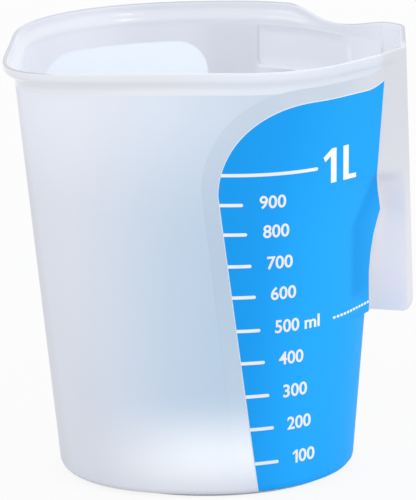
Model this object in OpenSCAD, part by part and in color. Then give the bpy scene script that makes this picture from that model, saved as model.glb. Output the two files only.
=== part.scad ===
// A one-litre plastic measuring jug: a round base that opens into a wide
// rim with a corner spout, a hollow folded handle and a printed scale.
// The base circle is centred on the origin and stands on the table at z = 0.
// The handle points to +X and the scale faces -Y.

/* [Body] */
// Height of the rim above the table
jug_h = 149; // [125:1:185]
// Radius of the round base and of the handle side of every section
base_r = 49.8; // [44:0.1:56]
// Thickness of the wall
wall = 1.6; // [1.2:0.1:2.4]
// How far the round half has moved towards the handle at the rim
axis_shift = 11.4; // [6:0.1:16]
// Distance from the moved axis to the spout side, at the rim
spout_reach = 75.7; // [66:0.1:86]
// How far the spout side slants outward to the spout corner
side_slant = 2.4; // [0:0.1:5]

/* [Base] */
// Thickness of the floor
floor_t = 1.8; // [1.4:0.1:3]
// Radius of the rounded heel
heel_r = 2.2; // [2:0.1:4]
// How far the foot ring lies inside the edge of the base
foot_in = 3.6; // [3.4:0.1:12]
// Width of the foot ring
foot_w = 2; // [1.5:0.1:4]
// Height of the foot ring
foot_h = 1; // [0.8:0.1:1.6]

/* [Rim] */
// Height of the flared band under the rim
rim_h = 8; // [6:0.5:11]
// How far the rim flares out
rim_flare = 2; // [1:0.1:3]
// How much further the lip flares at the spout corner
lip_flare = 1.9; // [0.5:0.1:4]
// How far the far top edge of the handle lies below the rim
rim_drop = 4; // [0:0.5:5]
// Depth of the shallow panel inside the far wall
panel_depth = 0.7; // [0.2:0.1:0.9]

/* [Handle] */
// Height of the underside of the handle above the table
grip_z = 55; // [48:1:66]
// How far the grip plate stands past the edge of the base, at the rim
grip_top_out = 18.1; // [16:0.1:26]
// How far the grip plate stands past the edge of the base, at its foot
grip_foot_out = 20.8; // [16:0.1:28]
// Width of the grip plate, at the rim
grip_w = 36; // [30:1:44]
// Width of the grip plate, at its foot
grip_foot_w = 24; // [20:1:34]
// How far the middle of the grip plate lies towards the far side
grip_y = 1.5; // [-2:0.5:3]
// Radius of the upright corners of the grip plate
grip_corner_r = 5; // [3:0.5:7]
// Radius of the lower corner of the grip plate
grip_foot_r = 4; // [2:0.5:6]
// Thickness of the floor of the handle
grip_floor_t = 2; // [1.4:0.1:3]

/* [Finger rest] */
// How far the cheek lies behind the edge of the finger rest
rest_out = 3; // [1:0.1:3.5]
// How far that edge stands past the round wall, seen from the front
rest_edge_out = 2.2; // [0.5:0.1:3]
// Width of the step from the edge back to the cheek
rest_step = 1.2; // [0.8:0.1:2]

/* [Label and scale] */
// Thickness of the label film
film_t = 0.2; // [0.15:0.05:0.4]
// Thickness of the printed lines
print_t = 0.15; // [0.1:0.05:0.3]
// Length of a graduation line
tick_len = 8; // [5:0.5:12]
// Thickness of a graduation line
tick_w = 1.15; // [0.8:0.05:1.6]
// Length of the one-litre line
litre_len = 32.5; // [20:0.5:36]
// Length of a dash of the half-litre line
dash_len = 1.3; // [0.8:0.1:1.8]
// Number of dashes in the half-litre line
dash_count = 11; // [6:1:12]

/* [Hidden] */
$fn = 96;

body_colour = [0.87, 0.88, 0.91];
rim_colour = [0.82, 0.85, 0.92];
label_colour = [0.16, 0.67, 1];
print_colour = [1, 1, 1];

// Heights that the pieces share
rim_z = jug_h - rim_h;
heel_z = foot_h + heel_r;
grip_h = rim_z - grip_z;
floor_r = base_r - heel_r - floor_t / 2;
foot_r = base_r - foot_in;

// Gap between a skin and what it lies on
skin_gap = 0.05;
// Gap round the floor of the handle
floor_gap = 0.1;
// How far the lower corner of the grip plate turns under, as a share of its radius
foot_turn_share = 0.8;

// Number of faces round a closed section
sides = 72;
// Number of faces on the body wall beside the handle
wall_sides = 48;
// Points of one side of the handle, and where its parts begin
rest_points = 6;
cheek_points = 2;
corner_points = 4;
side_points = rest_points + cheek_points + corner_points;
ring_points = 2 * side_points + wall_sides + 1;
// First and last point of the spout corner, counted along the body wall
spout_first = 26;
spout_last = 40;

// Power of the rounded-square outline, at the spout corner and behind it: at the
// rim, and at the base, where the spout corner already bulges a little
spout_power = 8;
back_power = 2.3;
spout_foot_power = 2.4;
back_foot_power = 2;

// Angle at which the wall leaves the round section, at the handle's foot and at the rim
open_foot_angle = 27;
open_top_angle = 45;
// Angle that the finger rest spreads over the body wall
rest_spread_angle = 24;
// Angles between which the scale side of the lower wall lies
scale_from_angle = 255;
scale_to_angle = 360;

// Heights of the rows of a wall, as shares of its height
lower_row_shares = [0, 0.2, 0.4, 0.6, 0.8, 1];
heel_row_shares = [0, 0.1, 0.3, 0.6, 1];
upper_row_shares = [0, 0.012, 0.03, 0.053, 0.094, 0.165, 0.247, 0.318, 0.376,
    0.43, 0.46, 0.506, 0.55, 0.565, 0.58, 0.595, 0.61, 0.68, 0.76, 0.835, 0.85,
    0.92, 1];
// Profile of the flared rim: height share, flare share
rim_shares = [[0, 0], [0.2, 0.08], [0.42, 0.45], [0.62, 0.88], [0.8, 1],
    [0.94, 0.95], [1, 0.7]];
// How far the edge of the finger rest stands past the round wall: height share, share
rest_edge_shares = [[0, 0.45], [0.02, 0.5], [0.1, 0.18], [0.175, -0.05],
    [0.255, -0.05], [0.33, 0.16], [0.385, 0.55], [0.43, 0.92], [0.515, 0.25],
    [0.585, -0.15], [1, -0.22]];
// Where the step of the finger rest fades out, as shares of the handle's height
rest_full_share = 0.55;
rest_none_share = 0.61;
// Panel inside the far wall: its ends as shares of the base radius, and its foot
panel_from_share = 0.35;
panel_to_share = 0.97;
panel_foot_share = 0.84;
// Where the flared band ends, as shares of the base radius
far_end_from_share = 0.72;
far_end_to_share = 0.84;
near_end_from_share = 1.17;
near_end_to_share = 1.235;
// Where the far top edge of the handle has risen back to the rim
rise_from_share = 0.92;
rise_to_share = 1.3;

// Outline of the label: shares of the base radius and of the rim's height
label_shares = [[0.355, 0.0095], [0.33, 0.052], [0.204, 0.4], [0.081, 0.71],
    [0.084, 0.737], [0.11, 0.768], [0.18, 0.815], [0.236, 0.843], [0.318, 0.87],
    [0.434, 0.897], [0.634, 0.918], [1.12, 0.92], [1.2, 0.935], [1.5, 0.935],
    [1.5, 0.0095]];
// Heights of the marks for 100 to 900 ml, and for 1 litre
mark_shares = [0.0785, 0.1604, 0.2389, 0.3181, 0.3946, 0.4738, 0.547,
    0.6215, 0.6906];
litre_share = 0.7604;
// Where the marks start, as shares of the base radius: at the foot, at the top and
// for the litre line, which starts at the round corner of the label
marks_foot_share = 0.36;
marks_top_share = 0.064;
litre_from_share = 0.106;
// Angles between which the half-litre line is dashed
dash_from_angle = 41;
dash_to_angle = 15;
// Height of a dash as a share of a graduation line
dash_h_share = 0.75;

function smooth(t) = t <= 0 ? 0 : t >= 1 ? 1 : t * t * (3 - 2 * t);
function mix(a, b, t) = a + (b - a) * t;
function up(z) = z / jug_h;
function grip_share(z) = (z - grip_z) / grip_h;
function axis_x(z) = axis_shift * up(z);

// Distance from the axis to the outside of the round or squared section
function power_at(z, a) =
    a > 180 ? mix(spout_foot_power, spout_power, up(z))
        : mix(back_foot_power, back_power, up(z));
function squared_r(z, a) =
    let (n = power_at(z, a),
         along = abs(cos(a)) / mix(base_r, spout_reach, up(z)),
         across = abs(sin(a)) / base_r)
    pow(pow(along, n) + pow(across, n), -1 / n);
function slant(z, a, y) =
    cos(a) < 0 ? -side_slant * up(z) * (y / base_r) * cos(a) : 0;
function heel_inset(z) =
    z >= heel_z ? 0 : heel_r - sqrt(max(0, pow(heel_r, 2) - pow(heel_z - z, 2)));
function section_point(z, a) =
    let (r = (cos(a) >= 0 ? base_r : squared_r(z, a)) - heel_inset(z),
         y = r * sin(a))
    [axis_x(z) + r * cos(a) + slant(z, a, y), y];

// One side of the handle, from the body wall to the upright corner of the
// grip plate; side is 1 for the far side and -1 for the near side
function open_angle(z) = mix(open_foot_angle, open_top_angle, min(1, grip_share(z)));
function foot_share(z) = max(0, 1 - (z - grip_z) / grip_foot_r);
function grip_x(z) =
    base_r + mix(grip_foot_out, grip_top_out, grip_share(z))
    - grip_foot_r * (1 - sqrt(1 - pow(foot_share(z) * foot_turn_share, 2)));
function round_point(z, a) = [axis_x(z) + base_r * cos(a), base_r * sin(a)];
function corner_centre(z, side) =
    [grip_x(z) - grip_corner_r,
        mix(grip_foot_w, grip_w, grip_share(z)) / 2 + side * grip_y - grip_corner_r];
function corner_from_angle(z, side) =
    let (d = round_point(z, open_angle(z)) - corner_centre(z, side))
    atan2(d[1], d[0]) - acos(grip_corner_r / norm(d));
function corner_point(z, side, a) =
    corner_centre(z, side) + grip_corner_r * [cos(a), sin(a)];
// The straight cheek runs from the round wall to the corner; over the finger
// rest the edge lies on the wall's tangent and the cheek behind it
function on_line(from, to, x) = mix(from, to, (x - from[0]) / (to[0] - from[0]));
function rest_fade(z) =
    smooth((grip_share(z) - rest_full_share) / (rest_none_share - rest_full_share));
function rest_edge_x(z) =
    axis_x(z) + base_r + rest_edge_out * lookup(grip_share(z), rest_edge_shares);
function side_outline(z, side) =
    let (a = open_angle(z),
         start = round_point(z, a),
         turn = corner_from_angle(z, side),
         corner = corner_point(z, side, turn),
         edge_x = rest_edge_x(z),
         tangent = start + base_r * [sin(a), -cos(a)],
         edge = mix(on_line(start, tangent, edge_x),
             on_line(start, corner, edge_x), rest_fade(z)),
         back = mix(edge + [rest_step, -rest_out],
             on_line(start, corner, edge_x + rest_step), rest_fade(z)))
    concat(
        [for (k = [0:2]) round_point(z, a + rest_spread_angle * (1 - k / 3))],
        [start, (start + edge) / 2, edge, back, (back + corner) / 2],
        [for (k = [0:corner_points])
            corner_point(z, side, turn * (1 - k / corner_points))]);

function side_at(z, side, k) =
    let (p = side_outline(z, side)[k]) [p[0], side * p[1]];
function wall_angle(z, k) =
    let (from = open_angle(z) + rest_spread_angle)
    mix(from, 360 - from, k / wall_sides);

// The whole outline at one height, anticlockwise seen from above: far side of
// the handle, body wall from the far side round to the near side, near side
function ring(z) = concat(
    [for (k = [side_points:-1:0]) side_at(z, 1, k)],
    [for (k = [1:wall_sides - 1]) section_point(z, wall_angle(z, k))],
    [for (k = [0:side_points]) side_at(z, -1, k)]);

near_start = side_points + wall_sides;
near_edge = near_start + rest_points - 1;
near_cheek_start = near_start + rest_points;
near_grip = near_cheek_start + cheek_points;
far_grip = corner_points;
far_cheek_end = far_grip + cheek_points;

function unit(v) = v / norm(v);
function outward(points, i) =
    let (n = len(points),
         d = unit(points[(i + 1) % n] - points[i])
            + unit(points[i] - points[(i + n - 1) % n]))
    unit([d[1], -d[0]]);
function in_panel(z, p) =
    z > grip_z + grip_h * panel_foot_share
    && p[1] > 0
    && p[0] > base_r * panel_from_share && p[0] < base_r * panel_to_share;

// Rows of points of the upper wall; a positive offset lies outside the wall
function outer_rows(zs, first, last, offset) =
    [for (z = zs) let (points = ring(z), n = len(points))
        [for (i = [first:last])
            let (j = i % n,
                 p = points[j] + outward(points, j) * offset)
            [p[0], p[1], z]]];
function inner_rows(zs, first, last) =
    [for (z = zs) let (points = ring(z), n = len(points))
        [for (i = [first:last])
            let (j = i % n,
                 depth = wall - (in_panel(z, points[j]) ? panel_depth : 0),
                 p = points[j] - outward(points, j) * depth)
            [p[0], p[1], z]]];

// Rows of points of a closed section below the handle
function section_rows(zs, angles, offset) =
    [for (z = zs) [for (a = angles)
        let (p = section_point(z, a), q = p - [axis_x(z), 0])
        [p[0] + offset * q[0] / norm(q), p[1] + offset * q[1] / norm(q), z]]];

// The flared rim: how far it flares and how high it stands at one point
function flare_at(p) =
    let (lip = lip_flare * smooth(1 - norm(p - lip_corner) / lip_width),
         ends = p[1] > 0
            ? 1 - smooth((p[0] / base_r - far_end_from_share)
                / (far_end_to_share - far_end_from_share))
            : 1 - smooth((p[0] / base_r - near_end_from_share)
                / (near_end_to_share - near_end_from_share)))
    rim_flare * ends + lip;
function top_at(p) =
    let (down = smooth((p[0] / base_r - far_end_from_share)
            / (far_end_to_share - far_end_from_share)),
         back = smooth((p[0] / base_r - rise_from_share)
            / (rise_to_share - rise_from_share)))
    jug_h - (p[1] > 0 ? rim_drop * down * (1 - back) : 0);
lip_corner_share = 0.9;
lip_corner = [axis_shift - spout_reach, -base_r] * lip_corner_share;
lip_width = base_r;
function rim_rows(first, last, depth) =
    [for (s = rim_shares)
        let (points = ring(rim_z + rim_h * s[0]), n = len(points))
        [for (i = [first:last])
            let (j = i % n,
                 flat = points[j],
                 out = flare_at(flat) * s[1] - depth,
                 p = flat + outward(points, j) * out)
            [p[0], p[1], mix(rim_z, top_at(flat), s[0])]]];

// A solid between an outer and an inner grid of points
function corner_of(grid, row, col, rows, cols) =
    grid * rows * cols + row * cols + col % cols;
function two_faces(a, b, c, d) = [[a, b, c], [a, c, d]];
module shell(outer, inner, closed = false) {
    rows = len(outer);
    cols = len(outer[0]);
    last = closed ? cols - 1 : cols - 2;
    points = concat([for (row = outer) for (p = row) p],
        [for (row = inner) for (p = row) p]);
    skins = [for (r = [0:rows - 2]) for (c = [0:last])
        let (a = [for (g = [0, 1]) [for (s = [[0, 0], [1, 0], [1, 1], [0, 1]])
            corner_of(g, r + s[0], c + s[1], rows, cols)]])
        each concat(two_faces(a[0][0], a[0][1], a[0][2], a[0][3]),
            two_faces(a[1][2], a[1][1], a[1][0], a[1][3]))];
    foot = [for (c = [0:last])
        each two_faces(corner_of(0, 0, c, rows, cols),
            corner_of(0, 0, c + 1, rows, cols),
            corner_of(1, 0, c + 1, rows, cols),
            corner_of(1, 0, c, rows, cols))];
    top = [for (c = [0:last])
        each two_faces(corner_of(0, rows - 1, c + 1, rows, cols),
            corner_of(0, rows - 1, c, rows, cols),
            corner_of(1, rows - 1, c, rows, cols),
            corner_of(1, rows - 1, c + 1, rows, cols))];
    ends = closed ? [] : [for (r = [0:rows - 2])
        each concat(
            two_faces(corner_of(0, r + 1, 0, rows, cols),
                corner_of(0, r, 0, rows, cols),
                corner_of(1, r, 0, rows, cols),
                corner_of(1, r + 1, 0, rows, cols)),
            two_faces(corner_of(0, r, cols - 1, rows, cols),
                corner_of(0, r + 1, cols - 1, rows, cols),
                corner_of(1, r + 1, cols - 1, rows, cols),
                corner_of(1, r, cols - 1, rows, cols)))];
    polyhedron(points, concat(skins, foot, top, ends));
}

all_angles = [for (k = [0:sides - 1]) 360 * k / sides];
scale_angles = [for (a = all_angles) if (a >= scale_from_angle) a];
heel_zs = [for (s = heel_row_shares) mix(foot_h, heel_z, s)];
lower_zs = [for (s = lower_row_shares) mix(heel_z, grip_z, s)];
upper_zs = [for (s = upper_row_shares) mix(grip_z, rim_z, s)];

module upper_patch(first, last) {
    shell(outer_rows(upper_zs, first, last, 0), inner_rows(upper_zs, first, last));
}
module rim_patch(first, last) {
    shell(rim_rows(first, last, 0), rim_rows(first, last, wall));
}

module base_floor() {
    color(body_colour)
        translate([0, 0, foot_h]) cylinder(r = floor_r, h = floor_t);
}

module foot_ring() {
    color(body_colour)
        difference() {
            cylinder(r = foot_r, h = foot_h);
            translate([0, 0, -foot_h]) cylinder(r = foot_r - foot_w, h = 3 * foot_h);
        }
}

// The inside of the heel rises from the edge of the floor to the wall
module heel() {
    edge_r = floor_r / cos(180 / sides);
    inner = [for (z = heel_zs) [for (a = all_angles)
        let (inside = section_rows([z], [a], -wall)[0][0],
             t = smooth((z - foot_h - floor_t) / (heel_r - floor_t)),
             edge = [edge_r * cos(a), edge_r * sin(a), z])
        mix(edge, inside, t)]];
    color(body_colour)
        shell(section_rows(heel_zs, all_angles, 0), inner, closed = true);
}

module lower_wall() {
    color(body_colour)
        shell(section_rows(lower_zs, all_angles, 0),
            section_rows(lower_zs, all_angles, -wall), closed = true);
}

module back_wall() {
    color(body_colour) upper_patch(side_points, side_points + spout_first);
}

module pouring_spout() {
    color(body_colour)
        upper_patch(side_points + spout_first, side_points + spout_last);
}

module front_wall() {
    color(body_colour) upper_patch(side_points + spout_last, near_start);
}

module rear_rim() {
    color(rim_colour) rim_patch(side_points, side_points + spout_first);
}

module spout_lip() {
    color(rim_colour)
        rim_patch(side_points + spout_first, side_points + spout_last);
}

module front_rim() {
    color(rim_colour) rim_patch(side_points + spout_last, near_start);
}

module handle_rim() {
    color(rim_colour) rim_patch(near_start, ring_points + side_points);
}

module near_finger_rest() {
    color(body_colour) upper_patch(near_start, near_cheek_start);
}

module far_finger_rest() {
    color(body_colour) upper_patch(far_cheek_end, side_points);
}

module near_cheek() {
    color(body_colour) upper_patch(near_cheek_start, near_grip);
}

module far_cheek() {
    color(body_colour) upper_patch(far_grip, far_cheek_end);
}

module grip_plate() {
    color(body_colour) upper_patch(near_grip, ring_points + far_grip);
}

// Closes the fold of the handle from below
module handle_floor() {
    spread = open_angle(grip_z);
    inner_r = base_r - wall;
    at_foot = ring(grip_z);
    fold = [for (i = [near_start + 3:ring_points + side_points - 3])
        let (j = i % ring_points)
        at_foot[j] - outward(at_foot, j) * (wall + floor_gap)];
    arc = [for (k = [5:-1:-5])
        [axis_x(grip_z) + inner_r * cos(spread * k / 6),
            inner_r * sin(spread * k / 6)]];
    color(body_colour)
        translate([0, 0, grip_z])
            linear_extrude(grip_floor_t) polygon(concat(fold, arc));
}

// A skin of even thickness over the scale side of the jug
module skin(from, thick, last) {
    zs = concat([for (z = heel_zs) if (z > jug_h * label_shares[0][1] - foot_h) z],
        [for (z = lower_zs) if (z > heel_z) min(z, grip_z - skin_gap)]);
    shell(section_rows(zs, concat(scale_angles, [scale_to_angle]), from + thick),
        section_rows(zs, concat(scale_angles, [scale_to_angle]), from));
    shell(outer_rows(upper_zs, side_points + spout_last, last, from + thick),
        outer_rows(upper_zs, side_points + spout_last, last, from));
}

// An outline drawn in the front view, pushed back to the middle of the jug
module from_front() {
    rotate([90, 0, 0]) linear_extrude(2 * base_r) children();
}

module label_film() {
    color(label_colour)
        intersection() {
            skin(skin_gap, film_t, near_edge);
            from_front()
                polygon([for (p = label_shares) [p[0] * base_r, p[1] * jug_h]]);
        }
}

print_from = 2 * skin_gap + film_t;
function marks_x(share) =
    base_r * mix(marks_foot_share, marks_top_share, share / litre_share);

module mark(share, from, length) {
    translate([from, share * jug_h]) {
        translate([0, -tick_w / 2]) square([length - tick_w / 2, tick_w]);
        translate([length - tick_w / 2, 0]) circle(d = tick_w, $fn = 16);
    }
}

module graduation_lines() {
    color(print_colour)
        intersection() {
            skin(print_from, print_t, near_start);
            from_front()
                for (share = mark_shares) mark(share, marks_x(share), tick_len);
        }
}

module litre_line() {
    color(print_colour)
        intersection() {
            skin(print_from, print_t, near_edge);
            from_front() mark(litre_share, base_r * litre_from_share, litre_len);
        }
}

module half_litre_line() {
    z = mark_shares[4] * jug_h;
    color(print_colour)
        intersection() {
            skin(print_from, print_t, near_edge);
            translate([axis_x(z), 0, z])
                for (k = [0:dash_count - 1])
                    rotate([0, 0, -mix(dash_from_angle, dash_to_angle,
                            k / (dash_count - 1))])
                        translate([base_r, 0, 0])
                            cube([heel_r * 2, dash_len, tick_w * dash_h_share],
                                center = true);
        }
}

base_floor();
foot_ring();
heel();
lower_wall();
back_wall();
pouring_spout();
front_wall();
rear_rim();
spout_lip();
front_rim();
handle_rim();
near_finger_rest();
far_finger_rest();
near_cheek();
far_cheek();
grip_plate();
handle_floor();
label_film();
graduation_lines();
litre_line();
half_litre_line();
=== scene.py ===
import math

import bpy
from bpy.props import FloatProperty, FloatVectorProperty, IntProperty, PointerProperty
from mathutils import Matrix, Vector


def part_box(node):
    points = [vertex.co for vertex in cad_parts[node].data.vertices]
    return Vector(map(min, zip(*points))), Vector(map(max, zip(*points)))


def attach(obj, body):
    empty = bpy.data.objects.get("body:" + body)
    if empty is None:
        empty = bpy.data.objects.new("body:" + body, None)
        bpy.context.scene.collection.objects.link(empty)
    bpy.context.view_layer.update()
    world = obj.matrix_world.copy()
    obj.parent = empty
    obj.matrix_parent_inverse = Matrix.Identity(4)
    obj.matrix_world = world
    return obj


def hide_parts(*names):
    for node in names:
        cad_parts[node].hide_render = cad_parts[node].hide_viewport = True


bl_info = {
    "name": "Measuring jug",
    "version": (1, 0, 0),
    "blender": (4, 5, 0),
    "location": "View3D > Sidebar > Jug",
    "description": "Builds a frosted plastic measuring jug around its CAD frame",
    "category": "Add Mesh",
}

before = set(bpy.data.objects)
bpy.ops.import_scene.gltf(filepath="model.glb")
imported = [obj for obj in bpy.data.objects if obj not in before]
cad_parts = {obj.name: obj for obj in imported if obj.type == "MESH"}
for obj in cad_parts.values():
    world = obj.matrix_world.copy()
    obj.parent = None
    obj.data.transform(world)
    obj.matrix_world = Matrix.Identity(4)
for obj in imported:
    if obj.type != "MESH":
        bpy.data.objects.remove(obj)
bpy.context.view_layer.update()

MM = 0.001
TINY = 1e-9
BODY = "root"

# The heights and reaches that the frame already holds
RIM_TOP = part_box("spout_lip")[1].z
RIM_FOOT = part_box("spout_lip")[0].z
GRIP_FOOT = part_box("grip_plate")[0].z
HEEL_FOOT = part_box("heel")[0].z
HEEL_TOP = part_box("heel")[1].z
FLOOR_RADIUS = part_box("base_floor")[1].y
FLOOR_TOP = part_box("base_floor")[1].z


def in_mm(name, description, millimetres):
    """A length property; its default is given in millimetres"""
    return FloatProperty(name=name, description=description,
                         default=millimetres * MM, unit="LENGTH")


def paint(name, description, colour):
    """A colour property"""
    return FloatVectorProperty(name=name, description=description, default=colour,
                               subtype="COLOR")


class JugShape(bpy.types.PropertyGroup):
    """Sizes of the moulding"""

    base_radius: in_mm("Base radius", "Radius of the round base", 49.8)
    wall: in_mm("Wall", "Thickness of the wall", 1.6)
    axis_shift: in_mm("Lean", "How far the round half moves towards the handle", 11.4)
    spout_reach: in_mm("Spout reach", "From the moved axis to the spout side", 75.7)
    side_slant: in_mm("Side slant", "How far the spout side slants outward", 2.4)
    rim_flare: in_mm("Rim flare", "How far the rim flares out", 1.99)
    lip_flare: in_mm("Lip flare", "How much further the lip flares at the corner", 1.8)
    rim_drop: in_mm("Rim drop", "How far the far top edge of the handle lies down", 4.0)
    panel_depth: in_mm("Panel depth", "Depth of the panel inside the far wall", 0.7)
    grip_top_x: in_mm("Grip at the rim", "Distance of the grip plate at the rim", 67.9)
    grip_foot_x: in_mm("Grip at its foot", "Distance of the grip plate at its foot",
                       70.58)
    grip_width: in_mm("Grip width", "Width of the grip plate at the rim", 36.0)
    grip_foot_width: in_mm("Grip foot width", "Width of the grip plate at its foot",
                           24.0)
    grip_side: in_mm("Grip offset", "How far the grip plate lies to the far side", 1.5)
    grip_corner: in_mm("Grip corner", "Radius of the upright corners", 5.0)
    grip_foot_corner: in_mm("Grip foot corner", "Radius of the lower corner", 4.0)
    rest_depth: in_mm("Finger rest", "How far the cheek lies behind the rest's edge",
                      3.0)
    rest_edge: in_mm("Rest edge", "How far the rest's edge stands past the wall", 2.2)
    rest_step: in_mm("Rest step", "Width of the step behind the rest's edge", 1.2)


class JugScale(bpy.types.PropertyGroup):
    """Sizes of the label and of what is printed on it"""

    film: in_mm("Film", "Thickness of the label film", 0.2)
    ink: in_mm("Ink", "Thickness of the print", 0.12)
    tick_length: in_mm("Mark length", "Length of a graduation line", 8.0)
    tick_width: in_mm("Mark width", "Thickness of a graduation line", 1.15)
    litre_length: in_mm("Litre line", "Length of the one-litre line", 32.5)
    numeral_height: in_mm("Numerals", "Height of the small numerals", 4.6)
    litre_height: in_mm("Litre numeral", "Height of the large numeral", 12.2)
    numeral_weight: FloatProperty(
        name="Numeral weight", description="How much the numerals are emboldened",
        default=0.017)
    dashes: IntProperty(
        name="Dashes", description="Dashes in the half-litre line", default=12)


class JugColours(bpy.types.PropertyGroup):
    """Colours of the plastic, the film and the print"""

    plastic: paint("Plastic", "Frosted plastic", (0.82, 0.835, 0.90))
    tint: paint("Blue tint", "Plastic lit through the label", (0.56, 0.70, 0.85))
    # Colour of the painted glow of light in the plastic, strongest near the base
    glow: paint("Base glow", "Thick plastic near the base", (0.91, 0.94, 0.97))
    polished: paint("Polished plastic", "Rim and margin", (0.82, 0.865, 0.94))
    grip: paint("Handle", "Plastic of the handle", (0.82, 0.815, 0.86))
    inner: paint("Inside", "Plastic of the inside", (0.805, 0.815, 0.86))
    through: paint("Light through", "Daylight that comes through the wall",
                   (0.88, 0.88, 0.94))
    # The polished window's colour is painted light that comes through the wall
    window: paint("Window", "Polished window inside the far wall", (0.845, 0.9, 0.945))
    label: paint("Label", "Blue of the label", (0.02, 0.43, 1.0))
    ink: paint("Print", "White of the print", (0.95, 0.96, 0.98))


def mix(a, b, t):
    return a + (b - a) * t


def smooth(t):
    t = min(1.0, max(0.0, t))
    return t * t * (3 - 2 * t)


def look_up(t, pairs):
    """Straight lines between (place, value) pairs"""
    if t <= pairs[0][0]:
        return pairs[0][1]
    for (a, va), (b, vb) in zip(pairs, pairs[1:]):
        if t <= b:
            return mix(va, vb, (t - a) / (b - a))
    return pairs[-1][1]


def steps(count):
    """Shares from 0 to 1 in equal steps"""
    return [k / count for k in range(count + 1)]


class Outline:
    """The outline of the moulding seen from above, at any height"""

    # How square the section is at the table and at the rim: 2 is a circle
    SPOUT_POWERS = (2.4, 8.0)
    BACK_POWERS = (2.0, 2.3)
    # Half of the angle that the handle leaves open, at its foot and at the rim
    OPEN_FOOT = math.radians(27)
    OPEN_TOP = math.radians(45)
    REST_SPREAD = math.radians(24)
    # The wave of the finger rest: share of the handle's height, share of rest_edge
    REST_EDGE = [(0, 0.45), (0.02, 0.5), (0.1, 0.18), (0.175, -0.05), (0.255, -0.05),
                 (0.33, 0.16), (0.385, 0.55), (0.43, 0.92), (0.515, 0.25),
                 (0.585, -0.15), (1, -0.22)]
    # Between these shares of the handle's height the rest fades into a plain wall
    REST_FULL = 0.55
    REST_NONE = 0.61
    FOOT_TURN = 0.8
    ARC_STEPS = 8
    FACET_STEPS = 8
    LEDGE_STEPS = 6
    CHEEK_STEPS = 6
    CORNER_STEPS = 8
    WALL_STEPS = 168
    PLATE_STEPS = 8
    LOWER_STEPS = 216

    def __init__(self, shape):
        self.shape = shape
        self.radius = shape.base_radius
        self.side_count = (self.ARC_STEPS + self.FACET_STEPS + self.LEDGE_STEPS
                           + self.CHEEK_STEPS + self.CORNER_STEPS)
        self.edge_step = self.ARC_STEPS + self.FACET_STEPS
        self.count = 2 * (self.side_count + 1) + self.WALL_STEPS - 1 + self.PLATE_STEPS - 1
        self.near_start = self.side_count + self.WALL_STEPS

    def up(self, z):
        return z / RIM_TOP

    def grip_share(self, z):
        return (z - GRIP_FOOT) / (RIM_FOOT - GRIP_FOOT)

    def axis_x(self, z):
        return self.shape.axis_shift * self.up(z)

    def heel_inset(self, z):
        r = HEEL_TOP - HEEL_FOOT
        return 0 if z >= HEEL_TOP else r - math.sqrt(max(0, r * r - (HEEL_TOP - z) ** 2))

    def section(self, z, a):
        """A point of the round or squared section"""
        s = self.shape
        c, d = math.cos(a), math.sin(a)
        r = self.radius
        if c < 0:
            powers = self.SPOUT_POWERS if d < 0 else self.BACK_POWERS
            n = mix(*powers, self.up(z))
            along = -c / mix(self.radius, s.spout_reach, self.up(z))
            across = abs(d) / self.radius
            r = (along ** n + across ** n) ** (-1 / n)
        r -= self.heel_inset(z)
        x = r * c
        if c < 0:
            x -= s.side_slant * self.up(z) * (r * d / self.radius) * c
        return Vector((self.axis_x(z) + x, r * d))

    def round_point(self, z, a):
        return Vector((self.axis_x(z) + self.radius * math.cos(a),
                       self.radius * math.sin(a)))

    def open_angle(self, z):
        return mix(self.OPEN_FOOT, self.OPEN_TOP, min(1, self.grip_share(z)))

    def grip_x(self, z):
        s = self.shape
        t = max(0, 1 - (z - GRIP_FOOT) / s.grip_foot_corner) * self.FOOT_TURN
        return (mix(s.grip_foot_x, s.grip_top_x, self.grip_share(z))
                - s.grip_foot_corner * (1 - math.sqrt(1 - t * t)))

    def rest_fade(self, z):
        return smooth((self.grip_share(z) - self.REST_FULL)
                      / (self.REST_NONE - self.REST_FULL))

    def rest_edge_x(self, z):
        return (self.axis_x(z) + self.radius
                + self.shape.rest_edge * look_up(self.grip_share(z), self.REST_EDGE))

    @staticmethod
    def on_line(start, end, x):
        return start.lerp(end, (x - start.x) / (end.x - start.x))

    def side(self, z, side):
        """One side of the handle with y taken outward, from the wall to the plate"""
        s = self.shape
        a = self.open_angle(z)
        start = self.round_point(z, a)
        r = s.grip_corner
        width = mix(s.grip_foot_width, s.grip_width, self.grip_share(z))
        centre = Vector((self.grip_x(z) - r, width / 2 + side * s.grip_side - r))
        d = start - centre
        turn = math.atan2(d.y, d.x) - math.acos(r / d.length)
        corner = centre + r * Vector((math.cos(turn), math.sin(turn)))
        fade = self.rest_fade(z)
        edge_x = self.rest_edge_x(z)
        tangent = start + self.radius * Vector((math.sin(a), -math.cos(a)))
        edge = self.on_line(start, tangent, edge_x).lerp(
            self.on_line(start, corner, edge_x), fade)
        back = (edge + Vector((s.rest_step, -s.rest_depth))).lerp(
            self.on_line(start, corner, edge_x + s.rest_step), fade)
        points = [self.round_point(z, a + self.REST_SPREAD * (1 - t))
                  for t in steps(self.ARC_STEPS)]
        points += [start.lerp(edge, t) for t in steps(self.FACET_STEPS)[1:]]
        points += [Vector((mix(edge.x, back.x, t), mix(edge.y, back.y, smooth(t))))
                   for t in steps(self.LEDGE_STEPS)[1:]]
        points += [back.lerp(corner, t) for t in steps(self.CHEEK_STEPS)[1:]]
        points += [centre + r * Vector((math.cos(turn * (1 - t)),
                                        math.sin(turn * (1 - t))))
                   for t in steps(self.CORNER_STEPS)[1:]]
        return [Vector((p.x, side * p.y)) for p in points]

    def ring(self, z):
        """The whole outline above the handle's foot, anticlockwise"""
        far, near = self.side(z, 1), self.side(z, -1)
        start = self.open_angle(z) + self.REST_SPREAD
        wall = [self.section(z, mix(start, 2 * math.pi - start, t))
                for t in steps(self.WALL_STEPS)[1:-1]]
        plate = [near[-1].lerp(far[-1], t) for t in steps(self.PLATE_STEPS)[1:-1]]
        return far[::-1] + wall + near + plate

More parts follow.
